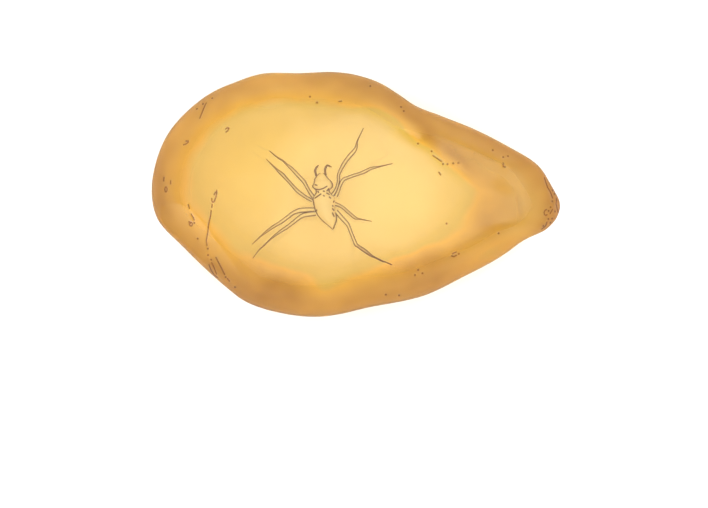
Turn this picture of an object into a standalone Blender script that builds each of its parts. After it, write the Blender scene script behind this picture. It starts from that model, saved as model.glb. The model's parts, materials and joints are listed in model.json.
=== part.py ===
"""A spider sealed in a loose, water-worn drop of amber.

Three solids: the amber, parted in two at the level of the spider, and the spider in its pocket.
Metres, +Z up. The drop lies on the small flat of its belly. The origin is on that flat, at the
middle of the drop's length and width. Its long side runs along X, with the blunt tip at +X.
"""

import math

import bmesh
import bpy
import numpy as np
from mathutils import Vector
from mathutils.geometry import delaunay_2d_cdt

MM = 0.001

# Driving dimensions, in millimetres
AMBER_LENGTH = 50.0
AMBER_WIDTH = 30.0
PARTING_HEIGHT = 7.0  # the widest level of the drop, where its two halves meet
DOME_HEIGHT = 8.3  # from the parting to the crown
PARTING_GAP = 0.3
POCKET_CLEARANCE = 0.3  # between the spider and the amber round it

# How the height falls from the crown to the rim, and how much thinner the tip is
ROUND_WIDTH = 8.5  # the rim is rounded over this distance, measured towards the middle
ROUND_POWER = 2.3
RISE_POWER = 2.0
CROWN_FALL = 0.14  # what a broad, even curve takes off the crown's height by the rim
TIP_THINNING = 0.34
THINNING_STARTS = 4.0
THINNING_ENDS = 25.0
REST_FLAT_SHARE = 0.34  # the rest flat's radius, as a share of the way from the middle to the rim
MIDDLE = (-3.0, 0.0)

# The outline seen from above, anticlockwise from the blunt tip
OUTLINE = (
    (25.1, -1.3), (24.0, 1.1), (22.35, 3.55), (19.15, 5.6), (14.65, 7.95), (10.35, 9.65),
    (7.45, 10.8), (5.15, 12.35), (2.9, 13.7), (0.2, 14.6), (-2.6, 15.0), (-7.0, 14.85),
    (-11.6, 14.75), (-14.7, 13.75), (-17.7, 12.45), (-20.55, 10.3), (-22.95, 7.5), (-24.4, 4.15),
    (-25.0, 0.4), (-24.25, -3.1), (-21.3, -6.35), (-16.2, -11.15), (-13.35, -13.3), (-8.6, -14.75),
    (-4.9, -15.1), (-1.9, -14.75), (1.45, -13.95), (6.6, -13.0), (9.1, -12.2), (13.25, -10.15),
    (17.8, -7.7), (20.65, -5.7), (23.4, -4.35), (24.7, -2.9),
)

# Mesh of a half: points round the rim, how far in each rim ring lies, the field inside them
RIM_POINTS = 120
RIM_INSETS = (0.0, 0.12, 0.4, 0.9, 1.6)
FIELD_INSET = 2.4
FIELD_SPACING = 1.7
MARK_CLEARANCE = 0.55

# Broad swellings and hollows of the crown: middle, reach along and across, turn, height
LUMP_FADE = 0.25
CROWN_LUMPS = (
    ((16.6, 3.0), (3.2, 1.5), 62.0, 0.35),
    ((-9.0, 12.0), (4.0, 1.6), 5.0, 0.20),
    ((10.5, -9.2), (3.6, 1.5), 25.0, 0.25),
    ((-13.5, -10.5), (3.0, 1.6), -45.0, 0.20),
)
BELLY_LUMPS = (
    ((-14.0, 4.5), (5.0, 3.2), 70.0, -0.35),
    ((8.5, 5.5), (5.0, 2.6), -25.0, -0.30),
    ((3.0, -9.0), (5.5, 2.4), 10.0, 0.30),
    ((16.0, -2.0), (3.0, 2.4), 0.0, -0.25),
)

# The hollow that sets the neck off from the body, from the shoulder down to the middle
NECK_HOLLOW = ((5.5, 11.4), (8.0, 7.45), (10.9, 4.1), (14.6, 2.65), (18.6, 1.6))
NECK_HOLLOW_DEPTH = 0.75
NECK_HOLLOW_REACH = 1.9

# Flat chips broken off the rim: two points of the chip's inner edge, and how steeply it falls
CHIPS = (
    ((22.85, 2.35), (24.1, -0.95), 58.0),
    ((23.95, -1.25), (23.85, -2.45), 66.0),
    ((-18.05, -8.2), (-16.4, -9.95), 50.0),
)

# Cracks in the crown's skin, as V-shaped grooves along these points
CRACK_WIDTH = 0.30
CRACK_DEPTH = 0.22
CRACKS = (
    ((-16.55, 0.35), (-16.9, -0.55), (-17.1, -1.6)),
    ((-17.15, -2.15), (-17.5, -4.1), (-17.95, -5.85)),
    ((-17.45, -8.5), (-16.9, -9.65)),
    ((-16.85, -7.7), (-15.85, -9.7)),
    ((-18.1, 10.9), (-18.5, 9.95), (-18.7, 9.0)),
    ((9.1, 4.4), (10.2, 3.65)),
)

# Pits in the crown and in the belly: middle and radius, each as deep as PIT_DEPTH_SHARE of that
PIT_DEPTH_SHARE = 0.7
CROWN_PITS = (
    ((-15.4, 7.5), 0.30), ((-20.35, 5.95), 0.30), ((-22.8, 0.4), 0.36), ((-19.8, -3.75), 0.36),
    ((-22.15, 1.25), 0.20), ((-19.45, -2.9), 0.24), ((-17.4, 11.55), 0.24), ((-5.45, 11.45), 0.20),
    ((-4.6, 10.75), 0.20), ((-1.9, 10.9), 0.24), ((5.45, 10.45), 0.22), ((7.35, 5.85), 0.24),
    ((17.85, 3.35), 0.36), ((11.55, 3.5), 0.20), ((9.95, 2.3), 0.22), ((11.75, -7.35), 0.36),
    ((7.4, -9.25), 0.22), ((17.15, -4.85), 0.20), ((23.0, -2.15), 0.36), ((22.6, -4.05), 0.26),
)
BELLY_PITS = (
    ((-16.0, -5.0), 0.34), ((-12.5, 8.8), 0.28), ((9.5, -6.0), 0.32), ((13.8, 4.4), 0.26),
    ((19.0, -1.5), 0.30), ((-19.5, 3.2), 0.24),
)

# The spider's body from its jaws to its tail: middle, half width and half height of each section
BODY_SECTIONS = (
    ((-4.22, 2.40), 0.16, 0.14), ((-4.19, 2.16), 0.65, 0.46), ((-4.14, 1.81), 1.00, 0.70),
    ((-4.09, 1.40), 1.20, 0.86), ((-4.08, 0.98), 1.23, 0.88), ((-4.10, 0.66), 1.03, 0.74),
    ((-4.04, 0.35), 0.86, 0.62), ((-3.99, 0.00), 1.04, 0.76), ((-3.95, -0.48), 1.25, 0.96),
    ((-3.91, -1.07), 1.30, 1.08), ((-3.80, -1.70), 1.23, 1.10), ((-3.62, -2.36), 1.14, 1.02),
    ((-3.32, -3.01), 0.96, 0.84), ((-3.12, -3.48), 0.71, 0.62), ((-2.97, -3.91), 0.41, 0.38),
    ((-2.86, -4.21), 0.14, 0.13),
)
BODY_SIDES = 14

# The legs: hip, then length, heading and far height of each segment from the hip outwards
LEGS = {
    "left_1": ((-5.00, -0.42), ((2.13, 121, 0.30), (2.91, 135, 0.12), (2.80, 144, -0.20))),
    "left_2": ((-5.08, -0.88), ((2.57, 148, 0.30), (2.49, 133, 0.15), (2.56, 136, -0.25))),
    "left_3": ((-4.85, -1.82), ((1.57, 183, 0.25), (1.06, 197, 0.30), (3.60, 212, 0.05),
                                (2.20, 221, -0.25))),
    "left_4": ((-4.55, -2.20), ((2.07, 193, 0.20), (1.86, 216, 0.30), (1.70, 209, 0.15),
                                (3.28, 227, -0.30))),
    "right_1": ((-3.12, -0.42), ((1.45, 62, 0.25), (2.91, 71, 0.35), (2.30, 52, 0.15),
                                 (0.68, 89, 0.00), (1.28, 68, -0.20))),
    "right_2": ((-2.78, -1.00), ((2.05, 64, 0.25), (0.89, 70, 0.35), (3.52, 20, 0.15),
                                 (2.59, 12, -0.20))),
    "right_3": ((-2.83, -1.05), ((1.21, 337, 0.20), (2.29, 323, 0.10), (1.74, 351, -0.20))),
    "right_4": ((-2.73, -1.66), ((2.35, 313, 0.20), (2.64, 293, 0.30), (2.68, 335, 0.05),
                                 (1.84, 347, -0.25))),
}
PALPS = {
    "left_palp": ((-4.65, 1.80), ((0.99, 111, 0.05), (0.71, 53, -0.05))),
    "right_palp": ((-3.75, 1.80), ((1.04, 91, 0.05), (0.60, 57, 0.05), (0.58, 334, -0.05))),
}
HIP_RADIUS = 0.27
LEG_TIP_RADIUS = 0.07
PALP_RADIUS = 0.17
PALP_TIP_RADIUS = 0.08
LIMB_SIDES = 8

# Finishes
AMBER_COLOUR = (0.93, 0.62, 0.24, 1.0)
SPIDER_COLOUR = (0.33, 0.17, 0.06, 1.0)


def remove_everything():
    for scene_object in list(bpy.data.objects):
        bpy.data.objects.remove(scene_object, do_unlink=True)


def plain_material(name, colour, roughness, transmission=0.0, ior=1.5):
    material = bpy.data.materials.new(name)
    material.use_nodes = True
    shader = material.node_tree.nodes["Principled BSDF"]
    shader.inputs["Base Color"].default_value = colour
    shader.inputs["Roughness"].default_value = roughness
    shader.inputs["Metallic"].default_value = 0.0
    shader.inputs["Transmission Weight"].default_value = transmission
    shader.inputs["IOR"].default_value = ior
    return material


def object_from(mesh_data, name, material=None):
    mesh = bpy.data.meshes.new(name)
    mesh_data.to_mesh(mesh)
    mesh_data.free()
    made = bpy.data.objects.new(name, mesh)
    bpy.context.collection.objects.link(made)
    if material:
        mesh.materials.append(material)
    return made


def make_cutter(made):
    made.hide_render = True
    made.display_type = "WIRE"


def combine(target, tool, operation):
    cut = target.modifiers.new(tool.name, "BOOLEAN")
    cut.operation = operation
    cut.solver = "EXACT"
    cut.object = tool


# The outline

def closed_curve(points, steps):
    """A smooth closed curve through the points (centripetal Catmull-Rom), steps to each span."""
    corners = [Vector(point) for point in points]
    count = len(corners)
    curve = []
    for index in range(count):
        before = corners[index - 1]
        start = corners[index]
        end = corners[(index + 1) % count]
        after = corners[(index + 2) % count]
        lead = math.sqrt((start - before).length)
        span = math.sqrt((end - start).length)
        trail = math.sqrt((after - end).length)
        leave = (end - start) + span * ((start - before) / lead - (end - before) / (lead + span))
        arrive = (end - start) + span * ((after - end) / trail - (after - start) / (span + trail))
        for step in range(steps):
            t = step / steps
            curve.append((2 * t**3 - 3 * t**2 + 1) * start + (t**3 - 2 * t**2 + t) * leave
                         + (3 * t**2 - 2 * t**3) * end + (t**3 - t**2) * arrive)
    return np.array([tuple(point) for point in curve])


def fitted_outline():
    """The curve, stretched to the driving length and width and centred on the origin."""
    curve = closed_curve(OUTLINE, 12)
    low = curve.min(axis=0)
    high = curve.max(axis=0)
    size = np.array((AMBER_LENGTH, AMBER_WIDTH))
    return (curve - (low + high) / 2) / (high - low) * size


def evenly_spaced(curve, count):
    ends = np.vstack((curve, curve[:1]))
    travelled = np.concatenate(((0.0,), np.cumsum(np.linalg.norm(np.diff(ends, axis=0), axis=1))))
    wanted = np.linspace(0.0, travelled[-1], count, endpoint=False)
    return np.stack([np.interp(wanted, travelled, ends[:, axis]) for axis in (0, 1)], axis=1)


CURVE = fitted_outline()
CURVE_TURN = np.arctan2(CURVE[:, 1] - MIDDLE[1], CURVE[:, 0] - MIDDLE[0])
CURVE_REACH = np.hypot(CURVE[:, 0] - MIDDLE[0], CURVE[:, 1] - MIDDLE[1])


def reach_towards(x, y):
    """How far the outline is from the middle, on the side that x and y are on."""
    turn = math.atan2(y - MIDDLE[1], x - MIDDLE[0])
    return float(np.interp(turn, CURVE_TURN, CURVE_REACH, period=2 * math.pi))


def share_of_reach(x, y):
    """0 at the middle of the drop, 1 on its outline."""
    return math.hypot(x - MIDDLE[0], y - MIDDLE[1]) / reach_towards(x, y)


# Heights of the two skins

def smooth_step(value):
    value = min(max(value, 0.0), 1.0)
    return value * value * (3 - 2 * value)


def thinning(x):
    """1 over the body, less towards the tip."""
    return 1 - TIP_THINNING * smooth_step((x - THINNING_STARTS) / (THINNING_ENDS - THINNING_STARTS))


def inside_by(x, y, inset):
    """Whether a point is inside the outline and at least this far from it."""
    return share_of_reach(x, y) < 1 and np.hypot(CURVE[:, 0] - x, CURVE[:, 1] - y).min() > inset


def rise(share, reach):
    """A skin's height as a share of its greatest: 0 on the outline, 1 at the middle."""
    inset = min(max(1 - share, 0.0) * reach / ROUND_WIDTH, 1.0)
    rounded = (1 - (1 - inset) ** ROUND_POWER) ** (1 / RISE_POWER)
    return rounded * (1 - CROWN_FALL * share * share)


def lump(x, y, middle, reach, turn, height):
    along, across = turned(x - middle[0], y - middle[1], turn)
    return height * math.exp(-((along / reach[0]) ** 2) - (across / reach[1]) ** 2)


def turned(x, y, degrees):
    angle = math.radians(degrees)
    return (x * math.cos(angle) + y * math.sin(angle), y * math.cos(angle) - x * math.sin(angle))


def distance_to_path(x, y, path):
    point = Vector((x, y))
    best = math.inf
    for start, end in zip(path, path[1:]):
        run = Vector(end) - Vector(start)
        share = (point - Vector(start)).dot(run) / run.length_squared
        nearest = Vector(start) + run * min(max(share, 0.0), 1.0)
        best = min(best, (point - nearest).length)
    return best


def chipped(x, y, height, chip):
    """The height where the flat face of a chip cuts the skin."""
    start, end, fall = chip
    edge = Vector(end) - Vector(start)
    outward = Vector((-edge.y, edge.x)).normalized()
    if outward.dot(Vector(start) - Vector(MIDDLE)) < 0:
        outward.negate()
    beyond = (Vector((x, y)) - (Vector(start) + Vector(end)) / 2).dot(outward)
    edge_x = (start[0] + end[0]) / 2
    edge_y = (start[1] + end[1]) / 2
    edge_rise = rise(share_of_reach(edge_x, edge_y), reach_towards(edge_x, edge_y))
    edge_height = DOME_HEIGHT * thinning(edge_x) * edge_rise
    return min(height, max(edge_height - beyond * math.tan(math.radians(fall)), 0.0))


def calm_at_rim(x, y):
    """Fades the lumps out towards the outline."""
    return smooth_step((1 - share_of_reach(x, y)) / LUMP_FADE)


def dome_height(x, y):
    """Height of the crown above the parting."""
    height = DOME_HEIGHT * thinning(x) * rise(share_of_reach(x, y), reach_towards(x, y))
    calm = calm_at_rim(x, y)
    for swelling in CROWN_LUMPS:
        height += calm * lump(x, y, *swelling)
    hollow = distance_to_path(x, y, NECK_HOLLOW) / NECK_HOLLOW_REACH
    height -= calm * NECK_HOLLOW_DEPTH * math.exp(-hollow * hollow)
    for chip in CHIPS:
        height = chipped(x, y, height, chip)
    return height


def belly_depth(x, y):
    """Depth of the belly below the parting. It is constant over the rest flat."""
    full_depth = PARTING_HEIGHT - PARTING_GAP / 2
    share = share_of_reach(x, y)
    reach = reach_towards(x, y)
    if share <= REST_FLAT_SHARE:
        return full_depth
    away = smooth_step((share - REST_FLAT_SHARE) / LUMP_FADE)
    depth = full_depth * thinning(x) * rise(share, reach) / rise(REST_FLAT_SHARE, reach)
    for swelling in BELLY_LUMPS:
        depth += calm_at_rim(x, y) * away * lump(x, y, *swelling)
    return min(depth, full_depth)


# Points of a half's skin

def rim_points(kept_clear):
    """Rings of points, from the outline inwards, each square to it. Only the first is whole."""
    ring = evenly_spaced(CURVE, RIM_POINTS)
    along = np.roll(ring, -1, axis=0) - np.roll(ring, 1, axis=0)
    inward = np.stack((-along[:, 1], along[:, 0]), axis=1)
    inward /= np.linalg.norm(inward, axis=1)[:, None]
    points = [tuple(place) for place in ring]
    for inset in RIM_INSETS[1:]:
        points += [tuple(place) for place in ring + inward * inset if not kept_clear(*place)]
    return points


def field_points(kept_clear):
    """An even field of points inside the rim rings, clear of the marks and of the rest flat."""
    points = []
    row_height = FIELD_SPACING * math.sqrt(3) / 2
    rows = int(AMBER_WIDTH / row_height)
    columns = int(AMBER_LENGTH / FIELD_SPACING)
    for row in range(-rows // 2, rows // 2 + 1):
        for column in range(-columns // 2, columns // 2 + 1):
            x = (column + (row % 2) / 2) * FIELD_SPACING
            y = row * row_height
            if inside_by(x, y, FIELD_INSET) and not kept_clear(x, y):
                points.append((x, y))
    return points


def pit_points(pits):
    """The middle and six rim points of each pit, with how far below the skin they lie."""
    points = []
    for middle, radius in pits:
        points.append((middle, radius * PIT_DEPTH_SHARE))
        for turn in range(0, 360, 60):
            angle = math.radians(turn)
            place = (middle[0] + radius * math.cos(angle), middle[1] + radius * math.sin(angle))
            points.append((place, 0.0))
    return points


def crack_points():
    """The bottom and both lips of each crack."""
    points = []
    for path in CRACKS:
        points.append((path[0], 0.0))
        points.append((path[-1], 0.0))
        for start, end in zip(path, path[1:]):
            run = Vector(end) - Vector(start)
            lip = Vector((-run.y, run.x)).normalized() * CRACK_WIDTH / 2
            steps = max(2, round(run.length / 0.7))
            for step in range(steps):
                place = Vector(start) + run * (step + 0.5) / steps
                points.append((tuple(place), CRACK_DEPTH))
                points.append((tuple(place + lip), 0.0))
                points.append((tuple(place - lip), 0.0))
    return points


def flat_ring():
    """The edge of the rest flat."""
    ring = evenly_spaced(CURVE, 28)
    middle = np.array(MIDDLE)
    return [tuple(middle + (point - middle) * REST_FLAT_SHARE) for point in ring]


def skin(level_points, sunk_points, height_at, side):
    """One half: a skin of triangles over all the points, closed by the flat parting face."""
    places = [Vector(place) for place in level_points]
    depths = [0.0] * len(level_points)
    for place, depth in sunk_points:
        places.append(Vector(place))
        depths.append(depth)
    outline = [list(range(RIM_POINTS))]
    flat, _, faces, sources, _, _ = delaunay_2d_cdt(places, [], outline, 1, 1e-6)
    level = PARTING_HEIGHT + side * PARTING_GAP / 2
    mesh_data = bmesh.new()
    corners = []
    for place, source in zip(flat, sources):
        x, y = place
        on_outline = source[0] < RIM_POINTS
        height = 0.0 if on_outline else height_at(x, y) - depths[source[0]]
        corners.append(mesh_data.verts.new((x * MM, y * MM, (level + side * height) * MM)))
    for face in faces:
        mesh_data.faces.new([corners[index] for index in face])
    edge = [corner for corner, source in zip(corners, sources) if source[0] < RIM_POINTS]
    mesh_data.faces.new(edge)
    bmesh.ops.recalc_face_normals(mesh_data, faces=mesh_data.faces)
    return mesh_data


def make_amber(name, side, material):
    marks = [path for path in CRACKS] if side > 0 else []
    pits = CROWN_PITS if side > 0 else BELLY_PITS

    def kept_clear(x, y):
        if side < 0 and share_of_reach(x, y) < REST_FLAT_SHARE + 0.06:
            return True
        if any(math.dist((x, y), middle) < radius + MARK_CLEARANCE for middle, radius in pits):
            return True
        return any(distance_to_path(x, y, path) < MARK_CLEARANCE for path in marks)

    level_points = rim_points(kept_clear) + field_points(kept_clear)
    if side > 0:
        sunk_points = pit_points(pits) + crack_points()
        mesh_data = skin(level_points, sunk_points, dome_height, side)
    else:
        mesh_data = skin(level_points + flat_ring(), pit_points(pits), belly_depth, side)
    return object_from(mesh_data, name, material)


# The spider

def loft(mesh_data, sections):
    """A closed tube through the sections, each a ring of points."""
    rings = [[mesh_data.verts.new(point) for point in section] for section in sections]
    for near, far in zip(rings, rings[1:]):
        for index in range(len(near)):
            after = (index + 1) % len(near)
            mesh_data.faces.new((near[index], near[after], far[after], far[index]))
    mesh_data.faces.new(rings[0])
    mesh_data.faces.new(rings[-1])
    bmesh.ops.recalc_face_normals(mesh_data, faces=mesh_data.faces)


def directions(path):
    """The heading of a path at each of its points, the mean of the runs that meet there."""
    headings = []
    for index in range(len(path)):
        before = path[max(index - 1, 0)]
        after = path[min(index + 1, len(path) - 1)]
        headings.append((after - before).normalized())
    return headings


def body_rings(clearance):
    """Rings round the spider's body, each square to the way that the body runs."""
    middles = [Vector(place) for place, _, _ in BODY_SECTIONS]
    headings = directions(middles)
    rings = []
    for index, (_, half_width, half_height) in enumerate(BODY_SECTIONS):
        heading = headings[index]
        across = Vector((-heading.y, heading.x))
        middle = middles[index]
        if index == 0:
            middle = middle - heading * clearance
        if index == len(BODY_SECTIONS) - 1:
            middle = middle + heading * clearance
        ring = []
        for step in range(BODY_SIDES):
            angle = 2 * math.pi * step / BODY_SIDES
            place = middle + across * (half_width + clearance) * math.cos(angle)
            height = PARTING_HEIGHT + (half_height + clearance) * math.sin(angle)
            ring.append((place.x * MM, place.y * MM, height * MM))
        rings.append(ring)
    return rings


def limb_path(hip, segments):
    """The joints of a limb, from its hip to its tip."""
    joints = [Vector((hip[0], hip[1], 0.0))]
    for length, heading, height in segments:
        angle = math.radians(heading)
        x = joints[-1].x + length * math.cos(angle)
        y = joints[-1].y + length * math.sin(angle)
        joints.append(Vector((x, y, height)))
    return joints


def limb_rings(hip, segments, radius, tip_radius):
    """Round sections of a limb, each square to it in plan, thinning from the hip to the tip."""
    joints = limb_path(hip, segments)
    rings = []
    for index, (joint, heading) in enumerate(zip(joints, directions(joints))):
        across = Vector((-heading.y, heading.x, 0.0)).normalized()
        share = index / (len(joints) - 1)
        size = radius + (tip_radius - radius) * share ** 1.2
        ring = []
        for step in range(LIMB_SIDES):
            angle = 2 * math.pi * (step + 0.5) / LIMB_SIDES
            place = joint + across * size * math.cos(angle)
            height = PARTING_HEIGHT + place.z + size * math.sin(angle)
            ring.append((place.x * MM, place.y * MM, height * MM))
        rings.append(ring)
    return rings


def channel_rings(hip, segments, radius, tip_radius):
    """The room that a limb takes in the amber: upright-sided, so that it opens at the parting."""
    joints = limb_path(hip, segments)
    headings = directions(joints)
    joints[-1] = joints[-1] + headings[-1] * POCKET_CLEARANCE
    rings = []
    for index, (joint, heading) in enumerate(zip(joints, headings)):
        across = Vector((-heading.y, heading.x, 0.0)).normalized()
        share = index / (len(joints) - 1)
        size = radius + (tip_radius - radius) * share ** 1.2 + POCKET_CLEARANCE
        top = PARTING_HEIGHT + max(joint.z, 0.0) + size
        bottom = PARTING_HEIGHT + min(joint.z, 0.0) - size
        left = joint + across * size
        right = joint - across * size
        corners = ((left, bottom), (right, bottom), (right, top), (left, top))
        rings.append([(place.x * MM, place.y * MM, height * MM) for place, height in corners])
    return rings


def limbs():
    """Every limb with its hip and segments, and its radius at the hip and at the tip."""
    for name, (hip, segments) in LEGS.items():
        yield name, hip, segments, HIP_RADIUS, LEG_TIP_RADIUS
    for name, (hip, segments) in PALPS.items():
        yield name, hip, segments, PALP_RADIUS, PALP_TIP_RADIUS


def make_spider(material):
    mesh_data = bmesh.new()
    loft(mesh_data, body_rings(0.0))
    spider = object_from(mesh_data, "spider", material)
    for name, hip, segments, radius, tip_radius in limbs():
        mesh_data = bmesh.new()
        loft(mesh_data, limb_rings(hip, segments, radius, tip_radius))
        limb = object_from(mesh_data, name)
        make_cutter(limb)
        combine(spider, limb, "UNION")
    return spider


def make_pocket():
    """The room round the spider, as one cutter."""
    mesh_data = bmesh.new()
    loft(mesh_data, body_rings(POCKET_CLEARANCE))
    pocket = object_from(mesh_data, "pocket")
    make_cutter(pocket)
    for name, hip, segments, radius, tip_radius in limbs():
        mesh_data = bmesh.new()
        loft(mesh_data, channel_rings(hip, segments, radius, tip_radius))
        channel = object_from(mesh_data, name + "_channel")
        make_cutter(channel)
        combine(pocket, channel, "UNION")
    return pocket


def main():
    remove_everything()
    amber = plain_material("amber", AMBER_COLOUR, 0.08, transmission=1.0, ior=1.54)
    chitin = plain_material("chitin", SPIDER_COLOUR, 0.45)
    make_spider(chitin)
    pocket = make_pocket()
    for name, side in (("amber_upper", 1), ("amber_lower", -1)):
        half = make_amber(name, side, amber)
        combine(half, pocket, "DIFFERENCE")


main()
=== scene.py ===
# %% [markdown]
# # A spider in amber
# A loose drop of fossil resin, about as long as a thumb, lies on a pale table and is looked at
# from straight above. Light falls through it, so its colour is the colour of its depth: pale honey
# where the eye looks down through the middle, deep orange where the view skims the rim. We build
# the drop as one clear closed mesh, seal a small spider inside, and let the light do most of the
# painting. Sizes are in millimetres, and MM turns them into Blender's metres when a mesh is made.

# %% Load the solids
import json
import math

import bmesh
import bpy
import numpy as np
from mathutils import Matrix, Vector, noise

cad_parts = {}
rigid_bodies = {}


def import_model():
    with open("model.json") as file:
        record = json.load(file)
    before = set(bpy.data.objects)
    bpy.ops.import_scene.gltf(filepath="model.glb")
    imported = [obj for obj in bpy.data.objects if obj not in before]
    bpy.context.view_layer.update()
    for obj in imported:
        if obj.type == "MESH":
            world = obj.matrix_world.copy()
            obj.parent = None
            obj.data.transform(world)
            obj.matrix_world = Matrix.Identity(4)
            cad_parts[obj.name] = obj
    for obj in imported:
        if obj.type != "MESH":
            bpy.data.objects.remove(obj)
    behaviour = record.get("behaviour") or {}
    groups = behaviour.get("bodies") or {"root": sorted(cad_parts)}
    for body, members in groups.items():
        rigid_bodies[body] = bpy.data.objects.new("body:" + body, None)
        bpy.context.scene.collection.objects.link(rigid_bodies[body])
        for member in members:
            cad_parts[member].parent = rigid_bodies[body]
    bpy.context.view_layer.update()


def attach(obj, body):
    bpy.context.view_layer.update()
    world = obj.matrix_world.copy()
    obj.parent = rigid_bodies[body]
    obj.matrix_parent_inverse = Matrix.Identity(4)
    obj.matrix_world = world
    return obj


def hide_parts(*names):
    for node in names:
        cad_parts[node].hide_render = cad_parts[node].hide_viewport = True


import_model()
MM = 0.001

# %% [markdown]
# ## The camera
# The drawing looks straight down on the drop. A long lens from a quarter of a metre away keeps the
# outline free of perspective. The drop lies above the middle of the sheet, so the camera stands a
# little in front of it instead of being tilted, and the picture needs no lens shift.

# %% Place the camera
LENGTH, WIDTH = 50.0, 30.0
PARTING = 7.0  # height of the level where the drop is widest
PICTURE = (708, 508)  # width and height in pixels
DROP_BOX = (152.0, 72.0, 560.0, 317.0)  # left, top, right, bottom of the drop in the picture
LENS, SENSOR = 100.0, 36.0
NEAREST_SEEN = 0.01  # in metres


def added(name, data):
    """A new object in the scene that shows a camera or a mesh."""
    thing = bpy.data.objects.new(name, data)
    bpy.context.scene.collection.objects.link(thing)
    return thing


metres_per_pixel = LENGTH * MM / (DROP_BOX[2] - DROP_BOX[0])
camera_distance = PICTURE[0] * metres_per_pixel * LENS / SENSOR
drop_middle = ((DROP_BOX[0] + DROP_BOX[2]) / 2, (DROP_BOX[1] + DROP_BOX[3]) / 2)
camera_place = Vector((
    (PICTURE[0] / 2 - drop_middle[0]) * metres_per_pixel,
    (drop_middle[1] - PICTURE[1] / 2) * metres_per_pixel,
    PARTING * MM + camera_distance,
))
lens = bpy.data.cameras.new("camera")
lens.lens = LENS
lens.sensor_width = SENSOR
lens.clip_start = NEAREST_SEEN
camera = added("camera", lens)
camera.location = camera_place
bpy.context.scene.camera = camera
print("camera at", [round(value, 4) for value in camera_place])

# %% [markdown]
# ## The outline
# A water-worn drop has no straight lines and no true arcs. Its outline could be traced point by
# point, but a worn edge is smooth, so a smooth closed curve through a few points says more with
# less: flat top, a shoulder, a neck that runs out to a blunt tip, and a belly with one long,
# nearly straight side. The solids have the same outline.

# %% Draw the outline
OUTLINE = (
    (25.1, -1.3), (24.0, 1.1), (22.35, 3.55), (19.15, 5.6), (14.65, 7.95), (10.35, 9.65),
    (7.45, 10.8), (5.15, 12.35), (2.9, 13.7), (0.2, 14.6), (-2.6, 15.0), (-7.0, 14.85),
    (-11.6, 14.75), (-14.7, 13.75), (-17.7, 12.45), (-20.55, 10.3), (-22.95, 7.5), (-24.4, 4.15),
    (-25.0, 0.4), (-24.25, -3.1), (-21.3, -6.35), (-16.2, -11.15), (-13.35, -13.3), (-8.6, -14.75),
    (-4.9, -15.1), (-1.9, -14.75), (1.45, -13.95), (6.6, -13.0), (9.1, -12.2), (13.25, -10.15),
    (17.8, -7.7), (20.65, -5.7), (23.4, -4.35), (24.7, -2.9),
)
CURVE_STEPS = 12


def closed_curve(points, steps):
    """A smooth closed curve through the points (centripetal Catmull-Rom), steps to each span."""
    corners = [np.array(point) for point in points]
    count = len(corners)
    curve = []
    for index in range(count):
        before, start = corners[index - 1], corners[index]
        end, after = corners[(index + 1) % count], corners[(index + 2) % count]
        lead, span, trail = (math.sqrt(math.dist(*pair))
                             for pair in ((before, start), (start, end), (end, after)))
        leave = (end - start) + span * ((start - before) / lead - (end - before) / (lead + span))
        arrive = (end - start) + span * ((after - end) / trail - (after - start) / (span + trail))
        for step in range(steps):
            t = step / steps
            curve.append((2 * t**3 - 3 * t**2 + 1) * start + (t**3 - 2 * t**2 + t) * leave
                         + (3 * t**2 - 2 * t**3) * end + (t**3 - t**2) * arrive)
    return np.array(curve)


curve = closed_curve(OUTLINE, CURVE_STEPS)
low, high = curve.min(axis=0), curve.max(axis=0)
curve = (curve - (low + high) / 2) / (high - low) * np.array((LENGTH, WIDTH))
print("outline:", len(OUTLINE), "points,", len(curve), "steps,", np.ptp(curve, axis=0), "mm")

# %% [markdown]
# ## The outline, seen from the middle
# Every height below depends on how near a place is to the rim. Searching for the nearest point of
# the outline would leave creases in the skin. Seen from a middle inside the drop, each direction
# meets the outline only once, so its distance there can be looked up, and the skin stays smooth.

# %% Measure how far the outline reaches
MIDDLE = np.array((-3.0, 0.0))

curve_turn = np.arctan2(curve[:, 1] - MIDDLE[1], curve[:, 0] - MIDDLE[0])
curve_reach = np.hypot(curve[:, 0] - MIDDLE[0], curve[:, 1] - MIDDLE[1])


def reach_towards(x, y):
    """How far the outline is from the middle, in the direction of x, y."""
    return np.interp(np.arctan2(y, x), curve_turn, curve_reach, period=2 * math.pi)


print("reach:", curve_reach.min().round(1), "to", curve_reach.max().round(1), "mm")

# %% [markdown]
# ## How the skin rises from the rim
# The drop has two skins, a high crown and a shallower belly, and each has one height at every
# place of the plan. Sand rounds an edge first, so the skin rises steeply at the rim and then
# levels off into a broad, flattish dome. A power curve has just that shape, and two powers tune
# its shoulder. Towards the tip the whole drop is thinner.

# %% Rise from the rim
ROUND_WIDTH = 8.5  # how far in from the rim the round shoulder goes
ROUND_POWER, RISE_POWER = 2.3, 2.0
CROWN_FALL = 0.14  # how far the dome falls from its middle to its rim, as a share of its height
TIP_THINNING = 0.34
THINNING_FROM, THINNING_TO = 4.0, 25.0  # along x


def smooth_step(value):
    """0 up to 0, 1 from 1 on, and a smooth slope between."""
    value = np.clip(value, 0.0, 1.0)
    return value * value * (3 - 2 * value)


def thinning(x):
    """The share of its full thickness that the drop has at x."""
    return 1 - TIP_THINNING * smooth_step((x - THINNING_FROM) / (THINNING_TO - THINNING_FROM))


def rise(share, reach):
    """Share of the full height at a share of the reach, which is 0 in the middle, 1 at the rim."""
    inset = np.clip((1 - share) * reach / ROUND_WIDTH, 0, 1)
    rounded = (1 - (1 - inset) ** ROUND_POWER) ** (1 / RISE_POWER)
    return rounded * (1 - CROWN_FALL * share * share)


print("thickness at the tip:", round(float(thinning(THINNING_TO)), 2), "of the full one")

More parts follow.
